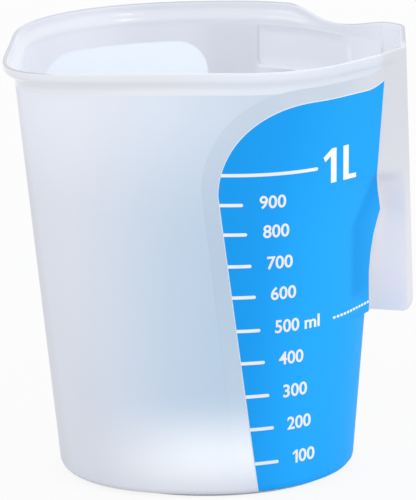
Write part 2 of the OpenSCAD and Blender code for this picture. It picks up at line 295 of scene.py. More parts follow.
    def lower_ring(self, z):
        return [self.section(z, 2 * math.pi * k / self.LOWER_STEPS)
                for k in range(self.LOWER_STEPS)]


def outward(points, i, reach=1):
    """Outward direction at one point of a closed outline"""
    n = len(points)
    here = points[i]
    d = ((points[(i + reach) % n] - here).normalized()
         + (here - points[(i - reach) % n]).normalized())
    return Vector((d.y, -d.x)).normalized()


class Moulding:
    """Rows of outer and inner points of the whole moulding"""

    LOWER_ROWS = 26
    HEEL_ROWS = 8
    UPPER_ROWS = 58
    RIM_ROWS = 12
    ROUND_ROWS = 5
    ROUND_END = 0.94
    # How many points away the outward direction looks, for skins without creases
    INNER_REACH = 3
    RIM_REACH = 2
    # The shallow panel: x as shares of the base radius, its foot as one of the height
    PANEL_FROM = 0.36
    PANEL_TO = 0.97
    PANEL_FOOT = 0.84
    PANEL_EDGE = 1.2 * MM
    # Where the flare ends on each side of the handle, and where the lowered far top
    # edge rises again, as x in shares of the base radius
    FAR_END = (0.55, 0.86)
    NEAR_END = (1.13, 1.36)
    RISE = (0.92, 1.3)
    # The part of the rim's height over which it flares
    FLARE = (0.3, 0.8)
    LIP_SHARE = 0.9

    def __init__(self, shape):
        self.shape = shape
        self.outline = Outline(shape)
        self.lip = Vector((shape.axis_shift - shape.spout_reach,
                           -shape.base_radius)) * self.LIP_SHARE

    def ends(self, p, span):
        return smooth((p.x / self.shape.base_radius - span[0]) / (span[1] - span[0]))

    def flare(self, p):
        s = self.shape
        lip = s.lip_flare * smooth(1 - (p - self.lip).length / s.base_radius)
        stay = 1 - self.ends(p, self.FAR_END if p.y > 0 else self.NEAR_END)
        return s.rim_flare * stay + lip

    def top(self, p):
        if p.y <= 0:
            return RIM_TOP
        down = self.ends(p, self.FAR_END) * (1 - self.ends(p, self.RISE))
        return RIM_TOP - self.shape.rim_drop * down

    def panel(self, p, z):
        """Depth of the shallow panel inside the far wall"""
        r = self.shape.base_radius
        foot = mix(GRIP_FOOT, RIM_FOOT, self.PANEL_FOOT)
        if p.y < 0:
            return 0
        inside = min(z - foot, p.x - r * self.PANEL_FROM, r * self.PANEL_TO - p.x,
                     RIM_FOOT - z)
        return self.shape.panel_depth * smooth(inside / self.PANEL_EDGE)

    def upper_rows(self):
        """The walls and the handle, from the handle's foot to the foot of the rim"""
        rows = []
        for t in steps(self.UPPER_ROWS):
            z = mix(GRIP_FOOT, RIM_FOOT, t)
            ring = self.outline.ring(z)
            row = []
            for i, p in enumerate(ring):
                depth = self.shape.wall - self.panel(p, z)
                row.append((p, p - outward(ring, i, self.INNER_REACH) * depth, z))
            rows.append(row)
        return two_grids(rows)

    def rim_rows(self):
        """The flared rim and its rounded top edge"""
        wall = self.shape.wall
        bead = wall / 2
        start, full = self.FLARE
        turns = [(t, 0.0) for t in steps(self.RIM_ROWS)[1:]]
        turns += [(1.0, math.pi / 2 * t * self.ROUND_END)
                  for t in steps(self.ROUND_ROWS)[1:]]
        rows = []
        for share, turn in turns:
            rise, drawn = bead * math.sin(turn), bead * (1 - math.cos(turn))
            ring = self.outline.ring(mix(RIM_FOOT, RIM_TOP - bead, share) + rise)
            flared = smooth((share - start) / (full - start))
            row = []
            for i, p in enumerate(ring):
                spread = self.flare(p) * flared
                n = outward(ring, i, self.RIM_REACH)
                z = mix(RIM_FOOT, self.top(p) - bead, share) + rise
                row.append((p + n * (spread - drawn), p + n * (spread - wall + drawn), z))
            rows.append(row)
        return two_grids(rows)

    def lower_rows(self):
        """The rounded heel and the wall up to the handle's foot"""
        zs = [HEEL_FOOT + (HEEL_TOP - HEEL_FOOT) * (1 - math.cos(math.pi / 2 * t))
              for t in steps(self.HEEL_ROWS)]
        zs += [mix(HEEL_TOP, GRIP_FOOT, t) for t in steps(self.LOWER_ROWS)[1:]]
        rows = []
        for z in zs:
            ring = self.outline.lower_ring(z)
            rise = smooth((z - FLOOR_TOP) / (HEEL_TOP - FLOOR_TOP))
            row = []
            for i, p in enumerate(ring):
                a = 2 * math.pi * i / len(ring)
                edge = Vector((math.cos(a), math.sin(a))) * FLOOR_RADIUS
                row.append((p, edge.lerp(p - outward(ring, i) * self.shape.wall, rise), z))
            rows.append(row)
        return two_grids(rows)


def two_grids(rows):
    """The outer and the inner grid of rows of outer points, inner points and heights"""
    return [[[Vector((*point[k], point[2])) for point in row] for row in rows]
            for k in (0, 1)]


def row_normals(rows, sign):
    """Smooth normals of a closed grid, so that pieces cut from it meet without a seam"""
    result = []
    for r, row in enumerate(rows):
        above, below = rows[min(r + 1, len(rows) - 1)], rows[max(r - 1, 0)]
        line = []
        for c in range(len(row)):
            along = row[(c + 1) % len(row)] - row[c - 1]
            line.append(along.cross(above[c] - below[c]).normalized() * sign)
        result.append(line)
    return result


def with_normals(outer, inner):
    """The two grids and the grids of their normals"""
    return outer, inner, row_normals(outer, 1), row_normals(inner, -1)


def collection():
    return bpy.context.scene.collection


def add_mesh(name, points, faces, normals=None, rounded=True):
    mesh = bpy.data.meshes.new(name)
    mesh.from_pydata([tuple(p) for p in points], [], faces)
    mesh.validate()
    mesh.update()
    mesh.polygons.foreach_set("use_smooth", [rounded] * len(mesh.polygons))
    if normals:
        mesh.normals_split_custom_set_from_vertices([tuple(n) for n in normals])
    piece = bpy.data.objects.new(name, mesh)
    collection().objects.link(piece)
    return piece


def solid(outer, inner, closed=False):
    """Points and faces of a closed solid between two grids with the same rows and
    columns, and how many of the faces, outer and inner in turn, lie on the grids"""
    rows, cols = len(outer), len(outer[0])
    points = [p for grid in (outer, inner) for row in grid for p in row]
    size = rows * cols
    last = cols if closed else cols - 1
    faces = []

    def at(r, c):
        return r * cols + c % cols

    def edge(a, b):
        faces.append([a, b, size + b, size + a])

    for r in range(rows - 1):
        for c in range(last):
            quad = [at(r, c), at(r, c + 1), at(r + 1, c + 1), at(r + 1, c)]
            faces.append(quad)
            faces.append([size + k for k in reversed(quad)])
    skins = len(faces)
    for c in range(last):
        edge(at(0, c + 1), at(0, c))
        edge(at(rows - 1, c), at(rows - 1, c + 1))
    if not closed:
        for r in range(rows - 1):
            edge(at(r, 0), at(r + 1, 0))
            edge(at(r + 1, last), at(r, last))
    return points, faces, skins


def shell(name, outer, inner, out_normals, in_normals, closed=False):
    """A part of the moulding, with the inside in its second material"""
    points, faces, skins = solid(outer, inner, closed)
    normals = [n for grid in (out_normals, in_normals) for row in grid for n in row]
    piece = add_mesh(name, points, faces, normals)
    piece.data.polygons.foreach_set("material_index", [
        k % 2 if k < skins else 0 for k in range(len(faces))])
    return piece


def cut(rows, first, last, start, end):
    """Part of a closed grid: rows first to last, columns start to end"""
    return [[row[c % len(row)] for c in range(start, end + 1)]
            for row in rows[first:last + 1]]


def finish_piece(piece, slot, skin, *nodes, inside=None):
    """Gives a piece its finish and body, and hides the nodes that it stands for"""
    piece.data.materials.append(skin)
    piece.data.materials.append(inside or skin)
    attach(piece, BODY)
    if nodes:
        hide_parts(*nodes)


# Shader maths


class Wire:
    """A node's output that takes part in shader maths"""

    def __init__(self, tree, socket):
        self.tree = tree
        self.socket = socket

    def output(self, key):
        """Another output of the same node"""
        return Wire(self.tree, self.socket.node.outputs[key])

    def maths(self, operation, *others):
        return self.tree.maths(operation, self, *others)

    def __add__(self, other):
        return self.maths("ADD", other)

    def __mul__(self, other):
        return self.maths("MULTIPLY", other)

    def __sub__(self, other):
        return self.maths("SUBTRACT", other)

    def __rsub__(self, other):
        return self.tree.maths("SUBTRACT", other, self)

    __radd__ = __add__
    __rmul__ = __mul__

    def rise(self, low, high):
        """0 below the first length and 1 above the second, both in millimetres"""
        return self.tree.step(self, low * MM, high * MM)

    def fall(self, low, high):
        return 1 - self.rise(low, high)


class Tree:
    """The nodes of a material or of the world"""

    PLACE = "Object"
    NORMAL = "Normal"
    # The Mix node's sockets for a share and two colours
    SHARE, FIRST, SECOND, MIXED = 0, 6, 7, 2

    def __init__(self, owner):
        owner.use_nodes = True
        self.nodes = owner.node_tree.nodes
        self.links = owner.node_tree.links
        self.nodes.clear()

    def node(self, kind, settings=None, values=(), output=0):
        """A node: its settings first, then the values or links of its sockets"""
        made = self.nodes.new(kind)
        for key, value in (settings or {}).items():
            setattr(made, key, value)
        pairs = values.items() if isinstance(values, dict) else enumerate(values)
        for key, value in pairs:
            socket = made.inputs[key]
            if isinstance(value, Wire):
                self.links.new(value.socket, socket)
            else:
                socket.default_value = (*value, 1) if socket.type == "RGBA" else value
        return Wire(self, made.outputs[output]) if made.outputs else None

    def maths(self, operation, *values):
        return self.node("ShaderNodeMath", {"operation": operation}, values)

    def noise(self, scale, detail=2.0, roughness=0.5, stretch=(1, 1, 1)):
        place = self.node("ShaderNodeTexCoord", output=self.PLACE)
        moved = self.node("ShaderNodeVectorMath", {"operation": "MULTIPLY"},
                          [place, stretch])
        return self.node("ShaderNodeTexNoise", None, {
            "Vector": moved, "Scale": scale, "Detail": detail,
            "Roughness": roughness})

    def axes(self, source=PLACE):
        """The x, y and z of the place or of the normal"""
        place = self.node("ShaderNodeTexCoord", output=source)
        split = self.node("ShaderNodeSeparateXYZ", None, [place])
        return [split.output(k) for k in range(3)]

    def step(self, value, low, high):
        """0 below low, 1 above high, smooth between"""
        return self.node("ShaderNodeMapRange",
                         {"interpolation_type": "SMOOTHSTEP", "clamp": True},
                         {"Value": value, "From Min": low, "From Max": high})

    def blend(self, share, a, b):
        """Colour a where the share is 0, colour b where it is 1"""
        return self.node("ShaderNodeMix", {"data_type": "RGBA"},
                         {self.SHARE: share, self.FIRST: a, self.SECOND: b}, self.MIXED)

    def seen(self, kind):
        """Rays from the camera and rays of one more kind"""
        rays = self.node("ShaderNodeLightPath")
        return rays.maths("MAXIMUM", rays.output(kind))

    def surface(self, values, relief):
        """The finish; relief is the height, strength and depth of its fine relief"""
        normal = self.node("ShaderNodeBump", None,
                           dict(zip(("Height", "Strength", "Distance"), relief)))
        shader = self.node("ShaderNodeBsdfPrincipled", None,
                           {**values, "Normal": normal})
        self.node("ShaderNodeOutputMaterial", None, [shader])


def material(build, colours):
    """The material that a builder makes, made once"""
    name = build.__name__.replace("_", " ")
    found = bpy.data.materials.get(name)
    if not found:
        found = bpy.data.materials.new(name)
        build(Tree(found), colours)
    return found


NONE = (0.0, 0.0, 0.0)
# Colour of the painted warm light on the handle
WARM = (1.0, 0.84, 0.76)
# What a colour keeps in shade
SHADE = 0.86

PLASTIC_IOR = 1.49
FILM_IOR = 1.3
COAT_ROUGHNESS = 0.08
MOULD_RELIEF = 0.05 * MM
PRINT_RELIEF = 0.02 * MM

# Noise of each finish: scale, detail, roughness and stretch
CLOUD = (38, 3, 0.55)
INNER_CLOUD = (32, 3, 0.55)
RIM_CLOUD = (46, 2, 0.5)
LABEL_CLOUD = (30, 2, 0.5)
GRAIN = (2600, 2, 0.6)
FLOW = (90, 2, 0.5, (1, 1, 0.15))
WAVE = (120, 1, 0.4, (1, 1, 0.3))
DOTS = (1800, 1, 0.5)
MOTTLE = (900, 2, 0.5)

# Where the handle and its matt rim, the far side and the rim begin along x, y and z,
# and how the glow dies away towards the back, in millimetres
HANDLE_START = (54, 60)
MATT_START = (57, 61)
FAR_SIDE = (0, 2)
RIM_START = (140, 143)
TO_THE_BACK = (-10, 20)
# How far the normal turns to the spout side where painted shade darkens the outline
OUTLINE_SHADE_TURN = (-0.84, -0.99)


def plastic_colour(tree, colours, cloud):
    """Translucent plastic: painted bluish light where light comes through the label, a
    painted glow near the base where the wall is thick, and painted shade where it
    turns away from the handle, along the outline on the spout side"""
    x, y, z = tree.axes()
    # Painted bluish light that comes through the label
    tint = y.fall(-34, -8) * x.rise(-58, 6) * x.fall(40, 58)
    tint = tint * z.rise(4, 40) * (1 - 0.5 * z.rise(80, 145))
    colour = tree.blend(tint, colours.plastic, colours.tint)
    # Painted glow near the base, fading towards the back
    low = z.rise(2, 10) * z.fall(10, 34) * x.rise(-45, 0)
    glow = 0.7 * low * (1 - 0.7 * y.rise(*TO_THE_BACK))
    colour = tree.blend(glow, colour, colours.glow)
    colour = tree.blend(0.8 * x.rise(*HANDLE_START), colour, colours.grip)
    # Painted shade along the outline on the spout side
    outline_shade = tree.step(tree.axes(tree.NORMAL)[0], *OUTLINE_SHADE_TURN)
    colour = tree.blend(0.55 * outline_shade, colour, colours.grip * SHADE)
    return tree.blend(0.1 * cloud, colour, colours.plastic * SHADE)


def light_through(tree, colours):
    """Light that leaves the wall: above the base, near the rim and on the handle"""
    x, y, z = tree.axes()
    low = z.rise(1, 16) * z.fall(14, 38) * x.rise(-42, 4) * y.fall(*TO_THE_BACK)
    high = 0.5 * z.rise(96, 142) * x.fall(-20, 30)
    handle = 0.6 * x.rise(*HANDLE_START) * z.fall(74, 124)
    light = tree.blend(low + high, NONE, colours.glow)
    return tree.blend(handle, light, WARM)


def rim_edge(tree, x, y, start):
    """Painted shade on the rim's rounded top edge at the back, the spout and the handle,
    where one looks into the thickness of the wall; start is the normal's z where it
    begins"""
    away = (y.rise(-14, -4) + x.fall(-58, -48)).maths("MINIMUM", 1.0)
    return tree.step(tree.axes(tree.NORMAL)[2], start, 0.75) * away


class WallBox:
    """A box with round corners on the far wall, seen from the front"""

    def __init__(self, left, right, foot, top, corner):
        """Sizes in millimetres"""
        self.centre = ((left + right) / 2 * MM, (foot + top) / 2 * MM)
        self.half = ((right - left) / 2 * MM, (top - foot) / 2 * MM)
        self.corner = corner * MM
        self.foot = foot * MM

    def distance(self, x, z):
        """Distance outside its edge; inside it is negative, down to the corner's
        radius"""
        past = []
        for place, centre, half in zip((x, z), self.centre, self.half):
            reach = (place - centre).maths("ABSOLUTE") - (half - self.corner)
            past.append(reach.maths("MAXIMUM", 0.0))
        return (past[0] * past[0] + past[1] * past[1]).maths("SQRT") - self.corner


# The polished window in the far wall, where painted light comes through
WINDOW = WallBox(left=-56.9, right=0.5, foot=20.4, top=135.6, corner=11)
# The shallow panel, whose edges are marked with painted light and shade
PANEL = WallBox(left=17.8, right=60.0, foot=126.8, top=152.0, corner=3.2)
PANEL_TURN = 48.9 * MM

# How softly the window's edge, the panel's border and the panel's painted lines of light
# and shade are drawn, in millimetres
WINDOW_EDGE = (-0.35, 0.35)
PANEL_BORDER = (-0.3, 0.3)
PANEL_LINE = (0.3, 0.6)


def panel_marks(x, z, rim):
    """What light does at the panel inside the far wall: where it is brighter, and
    where it is darker"""
    aside, below = PANEL.distance(x, z), PANEL.foot - z
    ledge = below.maths("ABSOLUTE").fall(*PANEL_LINE) * x.rise(17, 18) * x.fall(36, 42)
    turn = (x - PANEL_TURN).maths("ABSOLUTE").fall(0.5, 0.9)
    turn = turn * z.rise(129, 131) * z.fall(137, 139)
    sunk = aside.fall(*PANEL_BORDER) * (1 - rim)
    side = aside.maths("ABSOLUTE").fall(*PANEL_LINE) * z.rise(126, 129) * z.fall(139, 143)
    under = below.rise(0.5, 1) * below.fall(1, 7) * x.rise(18, 30)
    between = x.rise(-8, 6) * x.fall(16, 19) * (1 - rim)
    return (0.8 * ledge + 0.6 * turn + 0.14 * sunk,
            0.3 * side + 0.45 * under + 0.22 * between)


def inner_plastic(tree, colours):
    """The inside, lit by painted light that comes through the wall, with the polished
    window, whose brightness is painted light, painted light and shade at the edges of
    the shallow panel in the far wall, and painted shade on the rim's top edge"""
    x, y, z = tree.axes()
    cloud = tree.noise(*INNER_CLOUD)
    far, rim = y.rise(*FAR_SIDE), z.rise(*RIM_START)
    # The polished window: smoother, and brighter with painted light that comes through it
    window = far * WINDOW.distance(x, z).fall(*WINDOW_EDGE)
    bright, painted_shade = panel_marks(x, z, rim)
    # Painted shade: the panel's dark marks on the far side, and the rim's top edge near the
    # top and at the handle
    high = (z - RIM_TOP).rise(-1.0, -0.5).maths("MAXIMUM", x.rise(44, 50))
    painted_shade = far * painted_shade + 0.7 * rim * high * rim_edge(tree, x, y, 0.5)
    # Painted light that comes through the wall: towards the spout side, at the handle and
    # at the panel's bright marks
    handle = 0.55 * x.rise(46, 58) + 0.6 * rim * x.rise(54, 64)
    light = tree.blend(x.fall(-46, -18) + handle + far * bright, colours.through * 0.34,
                       colours.through * 0.8)
    light = tree.blend(painted_shade, light, NONE)
    light = tree.blend(window, light, colours.window)
    colour = tree.blend(0.2 * cloud, colours.inner, colours.polished)
    # Painted shade where the marks and the rim's top edge are dark, and a darker colour on
    # the inside of the rim
    colour = tree.blend(painted_shade + 0.14 * rim, colour, colours.grip * 0.7)
    colour = tree.blend(window, colour, colours.window)
    tree.surface({
        "Base Color": colour,
        "Roughness": 0.42 - 0.16 * window - 0.26 * rim + 0.1 * cloud,
        "Emission Color": light,
        "Emission Strength": 0.2,
        "Coat Weight": 0.4 * rim,
        "Coat Roughness": COAT_ROUGHNESS,
        "IOR": PLASTIC_IOR,
    }, (tree.noise(*FLOW), 0.1, MOULD_RELIEF))


def frosted_plastic(tree, colours):
    """The plastic where the mould is finely spark-eroded"""
    cloud = tree.noise(*CLOUD)
    tree.surface({
        "Base Color": plastic_colour(tree, colours, cloud),
        "Roughness": 0.46 + 0.1 * cloud,
        "Emission Color": light_through(tree, colours),
        "Emission Strength": 0.16,
        "IOR": PLASTIC_IOR,
        "Specular IOR Level": 0.42,
    }, (tree.noise(*GRAIN) + 1.6 * tree.noise(*FLOW), 0.16, MOULD_RELIEF))


def polished_plastic(tree, colours):
    """The same plastic where the mould is polished: the rim, up to the matt handle,
    glowing with painted light that is strongest under the flare on the spout side, and
    with painted shade on its rounded top edge
    """
    x, y, z = tree.axes()
    cloud = tree.noise(*RIM_CLOUD)
    edge = rim_edge(tree, x, y, 0.3)
    beside, matt = x.rise(-20, 20), x.rise(*MATT_START)
    # Painted light under the flare, on the spout side
    under = (z - RIM_FOOT).fall(1.5, 5.8) * x.rise(-66, -50) * (1 - beside)
    colour = tree.blend(beside, colours.grip * 1.01, colours.polished)
    colour = tree.blend(0.14 * cloud, colour, colours.glow)
    # Painted shade on the rounded top edge
    colour = tree.blend(0.75 * edge, colour, colours.plastic * 0.66)
    colour = tree.blend(matt * (1 - edge), colour, colours.grip)
    # Painted light that glows through the rim, none on the top edge and the matt handle
    light = tree.blend(0.5 * cloud + under, colours.through, colours.glow)
    light = tree.blend(edge, light, NONE)
    light = tree.blend(0.75 * (1 - 0.28 * under), light, NONE)
    light = tree.blend(matt, light, NONE)
    tree.surface({
        "Base Color": colour,
        "Emission Color": light,
        "Emission Strength": 0.16,
        "Roughness": 0.16 + 0.08 * cloud + 0.3 * matt,
        "IOR": PLASTIC_IOR,
        "Coat Weight": 0.4 - 0.4 * matt,
        "Coat Roughness": COAT_ROUGHNESS,
    }, (tree.noise(*WAVE), 0.08, MOULD_RELIEF))


def polished_margin(tree, colours):
    """The polished margin that the mould leaves round the label, with a band of painted
    bluish light from the label and painted light that leaves the wall
    """
    cloud = tree.noise(*CLOUD)
    x, _, z = tree.axes()
    # A band of painted bluish light from the label, higher up and left of the middle
    band = z.rise(30, 80) * x.fall(14, 36)
    colour = tree.blend(0.3 * band, plastic_colour(tree, colours, cloud),
                        colours.tint * 0.8)
    tree.surface({
        "Base Color": colour,
        "Emission Color": light_through(tree, colours),
        "Emission Strength": 0.17,
        "Roughness": 0.26 + 0.1 * cloud,
        "IOR": PLASTIC_IOR,
        "Specular IOR Level": 0.6,
    }, (tree.noise(*WAVE), 0.08, MOULD_RELIEF))


# What is left of the label's red, green and blue where it is darker: in its mottle and
# dots, and in painted shade
DEEP_SHARES = (0.6, 0.84, 0.92)
# The painted shade at the step beside the finger rest leans away from the handle above this
# height
REST_BEND = 89 * MM
REST_LEAN = 0.463
LEFT_LEAN = 0.14


def label_blue(tree, colours):
    """Printed film under a smooth surface, with the fine dots of the print, painted shade
    beside the finger rest and towards the left, and painted light from behind towards
    the handle
    """
    cloud, dots = tree.noise(*LABEL_CLOUD), tree.noise(*DOTS)
    x, _, z = tree.axes()
    # Painted shade beside the finger rest
    past = x - REST_LEAN * (z - REST_BEND).maths("MAXIMUM", 0.0)
    rest = past.rise(48, 50.5) * z.rise(60, 66) * (1 - 0.85 * past.rise(50.5, 59))
    # Painted shade, darker towards the left
    left = (x - LEFT_LEAN * z).fall(0, 34)
    deep = [c * share for c, share in zip(colours.label, DEEP_SHARES)]
    colour = tree.blend(0.2 * cloud + 0.12 * dots + 0.75 * rest + left,
                        colours.label, deep)
    # Painted light from behind, rising towards the handle, weaker higher up and in the
    # rest's shade
    lit = x.rise(6, 34) * (1 - 0.5 * rest - 0.4 * z.rise(84, 134))
    tree.surface({
        "Base Color": colour,
        "Emission Color": tree.blend(lit, NONE, colours.label),
        "Emission Strength": 0.13,
        "Roughness": 0.5 + 0.08 * dots,
        "IOR": FILM_IOR,
        "Specular IOR Level": 0.16,
    }, (dots, 0.05, PRINT_RELIEF))


def white_ink(tree, colours):
    """Opaque white print with a faint mottle, lit from behind near the handle"""
    lit = tree.axes()[0].rise(20, 48)
    mottle = tree.noise(*MOTTLE)
    tree.surface({
        "Base Color": tree.blend(0.25 * mottle, colours.ink, colours.ink * 0.93),
        "Emission Color": tree.blend(lit, NONE, (1, 1, 1)),
        "Emission Strength": 0.2,
        "Roughness": 0.42 + 0.06 * mottle,
        "IOR": PLASTIC_IOR,
    }, (mottle, 0.05, PRINT_RELIEF))


class ScaleSide:
    """The near outside of the jug as a surface to print on"""

    FROM = math.radians(205)
    LINES_PER_MM = 20

    def __init__(self, outline):
        self.outline = outline
        self.kept = {}

    def line(self, z):
        """The outline from the spout side to the edge of the finger rest, and how
        far along it each point lies"""
        key = (z < GRIP_FOOT, round(z / MM * self.LINES_PER_MM))
        if key not in self.kept:
            o = self.outline
            if z < GRIP_FOOT:
                count = o.LOWER_STEPS
                points = [o.section(z, mix(self.FROM, 2 * math.pi, k / count))
                          for k in range(count + 1)]
            else:
                ring = o.ring(z)
                first = next(i for i in range(o.side_count, o.near_start)
                             if self.angle(ring[i], z) > self.FROM)
                points = ring[first:o.near_start + o.edge_step + 1]
            lengths = [0.0]
            for a, b in zip(points, points[1:]):
                lengths.append(lengths[-1] + (b - a).length)
            self.kept[key] = (points, lengths)
        return self.kept[key]

    def angle(self, p, z):
        return math.atan2(p.y, p.x - self.outline.axis_x(z)) % (2 * math.pi)

    def length_at(self, z, x):
        """How far along the outline the point with this x lies"""
        points, lengths = self.line(z)
        for i in range(len(points) - 1):
            a, b = points[i], points[i + 1]
            if a.x <= x <= b.x:
                t = (x - a.x) / max(b.x - a.x, TINY)
                return mix(lengths[i], lengths[i + 1], t)
        return lengths[-1] if x > points[-1].x else 0.0

    def at(self, z, length, lift):
        """The point that far along the outline, lifted off the surface"""
        points, lengths = self.line(z)
        i = 0
        while i < len(points) - 2 and lengths[i + 1] < length:
            i += 1
        a, b = points[i], points[i + 1]
        t = (length - lengths[i]) / max(lengths[i + 1] - lengths[i], TINY)
        p = a.lerp(b, t)
        before, after = points[max(i - 1, 0)], points[min(i + 2, len(points) - 1)]
        first, second = (b - before), (after - a)
        d = first.normalized().lerp(second.normalized(), min(1, max(0, t)))
        n = Vector((d.y, -d.x)).normalized()
        return Vector((p.x + n.x * lift, p.y + n.y * lift, z))

    def point(self, x, z, lift):
        return self.at(z, self.length_at(z, x), lift)

    def across(self, z, shape, share, lift):
        """A point of a film, at a share of its width"""
        left = shape.left(z)
        length = mix(self.length_at(z, left), self.line(z)[1][-1], share)
        flat = self.at(z, length, lift)
        risen = shape.risen(z, flat.x)
        if risen == z:
            return flat
        length = mix(self.length_at(risen, left), self.line(risen)[1][-1], share)
        return self.at(risen, length, lift)


class FilmShape:
    """A film on the scale side: a straight left edge, a round top left corner
    and a top that rises at the handle"""

    RISE = 2.6 * MM
    RISE_SPAN = (54 * MM, 60.5 * MM)
    RISE_BAND = 14 * MM
    ROW_PITCH = 1.2 * MM
    CORNER_ROWS = 28

    def __init__(self, foot, foot_x, bend, bend_x, top, corner_width):
        """Sizes in millimetres; the left edge is straight from foot to bend"""
        self.foot, self.foot_x = foot * MM, foot_x * MM
        self.bend, self.bend_x = bend * MM, bend_x * MM
        self.top, self.corner_width = top * MM, corner_width * MM

    def risen(self, z, x):
        """The height of a point of the top band after the rise"""
        low, high = self.RISE_SPAN
        band = max(0, 1 - (self.top - z) / self.RISE_BAND)
        share = max(0, (x - low) / (high - low))
        return z + self.RISE * band * band * share * share

    def rows(self, low, high):
        """Heights of the rows between two heights"""
        count = max(2, round((min(high, self.bend) - low) / self.ROW_PITCH))
        zs = [mix(low, min(high, self.bend), t) for t in steps(count)]
        if high > self.bend:
            zs += [self.bend + (self.top - self.bend) * math.sin(math.pi / 2 * t)
                   for t in steps(self.CORNER_ROWS)[1:]]
        return zs

    def left(self, z):
        x = mix(self.foot_x, self.bend_x, min(1, (z - self.foot) / (self.bend - self.foot)))
        if z > self.bend:
            t = min(1, (z - self.bend) / (self.top - self.bend))
            x += self.corner_width * (1 - math.sqrt(1 - t * t))
        return x


LABEL = FilmShape(foot=1.4, foot_x=17.7, bend=106.0, bend_x=4.0, top=136.8,
                  corner_width=32.5)
# The clear edge of the film, drawn in white print as a painted bright line
HALO = FilmShape(foot=1.2, foot_x=17.4, bend=106.0, bend_x=3.7, top=137.1,
                 corner_width=32.5)
MARGIN = FilmShape(foot=4.2, foot_x=10.8, bend=108.0, bend_x=-1.6, top=142.0,
                   corner_width=35.0)
FILM_COLUMNS = 72
HAIR = 0.01 * MM

# How far the layers lie off the wall, one over the other
MARGIN_LIFTS = (0.02 * MM, 0.06 * MM)
HALO_LIFTS = (0.08 * MM, 0.12 * MM)
LABEL_LIFT = 0.14 * MM
PRINT_LIFT = 0.26 * MM

SHARP_TURN = math.radians(40)
STRIP_PITCH = 0.8 * MM
STRIP_ROUND_STEPS = 6
STRIP_ROWS = (-1, -0.33, 0.33, 1)


def join(name, parts):
    """Several thin solids, each between two grids, as one piece"""
    points, faces = [], []
    for outer, inner in parts:
        more, loops, _ = solid(outer, inner)
        faces += [[len(points) + k for k in loop] for loop in loops]
        points += more
    piece = add_mesh(name, points, faces)
    piece.data.set_sharp_from_angle(angle=SHARP_TURN)
    return piece


def film(name, shape, side, low_lift, high_lift):
    """A thin sheet over the scale side, in two parts that meet at the handle's foot"""
    spans = [(shape.foot, GRIP_FOOT - HAIR), (GRIP_FOOT, shape.top)]
    return join(name, [
        [[[side.across(z, shape, t, lift) for t in steps(FILM_COLUMNS)]
          for z in shape.rows(low, high)] for lift in (high_lift, low_lift)]
        for low, high in spans])


def strip(side, x, z, length, width, thick):
    """A printed line with a square left end and a round right end"""
    half = width / 2
    straight = length - half
    columns = [x + straight * t for t in steps(max(4, round(length / STRIP_PITCH)))]
    halves = [half] * len(columns)
    for turn in steps(STRIP_ROUND_STEPS)[1:]:
        columns.append(x + straight + half * math.sin(math.pi / 2 * turn))
        halves.append(half * math.cos(math.pi / 2 * turn) + HAIR)
    return [[[side.point(c, z + h * s, up) for c, h in zip(columns, halves)]
             for s in STRIP_ROWS] for up in (PRINT_LIFT + thick, PRINT_LIFT)]


# Each mark's volume in millilitres and its height as a share of the rim's
MARKS = [(100, 0.0785), (200, 0.1604), (300, 0.2389), (400, 0.3181), (500, 0.3946),
         (600, 0.4738), (700, 0.547), (800, 0.6215), (900, 0.6906)]
FIRST_SHARE = MARKS[0][1]
LAST_SHARE = MARKS[-1][1]
MARK_FOOT_X = 16.3 * MM
MARK_TOP_X = 4.3 * MM
LITRE_MARK = 0.7604
LITRE_X = 4.9 * MM
HALF_LITRE = 500
HALF_LITRE_SHARE = dict(MARKS)[HALF_LITRE]

# The dashes start at this x; each leaves a share of its pitch before it
DASHES_X = 42.5 * MM
DASH_BEFORE = 0.12
DASH_SHARE = 0.62
DASH_WIDTH_SHARE = 0.36

NUMERAL_RISE = 0.75 * MM
NUMERAL_X = 12.4 * MM
NUMERAL_STEP = 1.1 * MM
NUMERAL_WIDTH = 8.9 * MM
NUMERAL_NARROWING = 0.15 * MM
HALF_LITRE_WIDTH = 15.0 * MM
ONE_INDENT = 0.3 * MM
ONE_WIDTH = 1.75 * MM
ONE_SHARE = 0.31

# Outlines of the numeral 1 and of the letter L in a box of one by one
ONE = [(0.58, 0), (1, 0), (1, 1), (0.66, 1), (0, 0.77), (0.13, 0.64), (0.58, 0.79)]
LETTER_L = [(0, 0), (1, 0), (1, 0.13), (0.41, 0.13), (0.41, 1), (0, 1)]

# Their left x, width and height over the middle of the one-litre line
LITRE_GLYPHS = (("numeral_litre", ONE, 39.3 * MM, 4.3 * MM, 0.1 * MM),
                ("letter_litre", LETTER_L, 46.0 * MM, 4.3 * MM, 0.0))


def mark_x(share):
    return mix(MARK_FOOT_X, MARK_TOP_X, (share - FIRST_SHARE) / (LAST_SHARE - FIRST_SHARE))


def one_face(outline):
    return [list(range(len(outline)))]


def words_flat(words, weight):
    """Words as a flat mesh: its points in a box of one by one, and its faces"""
    curve = bpy.data.curves.new("words", "FONT")
    curve.body = words
    curve.size = 1.0
    curve.offset = weight
    curve.resolution_u = 6
    maker = bpy.data.objects.new("words_maker", curve)
    collection().objects.link(maker)
    bpy.context.view_layer.update()
    made = bpy.data.meshes.new_from_object(
        maker.evaluated_get(bpy.context.evaluated_depsgraph_get()))
    bpy.data.objects.remove(maker)
    xs = [v.co.x for v in made.vertices]
    ys = [v.co.y for v in made.vertices]
    low_x, low_y = min(xs), min(ys)
    wide, tall = max(xs) - low_x, max(ys) - low_y
    flat = [((x - low_x) / wide, (y - low_y) / tall) for x, y in zip(xs, ys)]
    loops = [list(polygon.vertices) for polygon in made.polygons]
    bpy.data.meshes.remove(made)
    return flat, loops


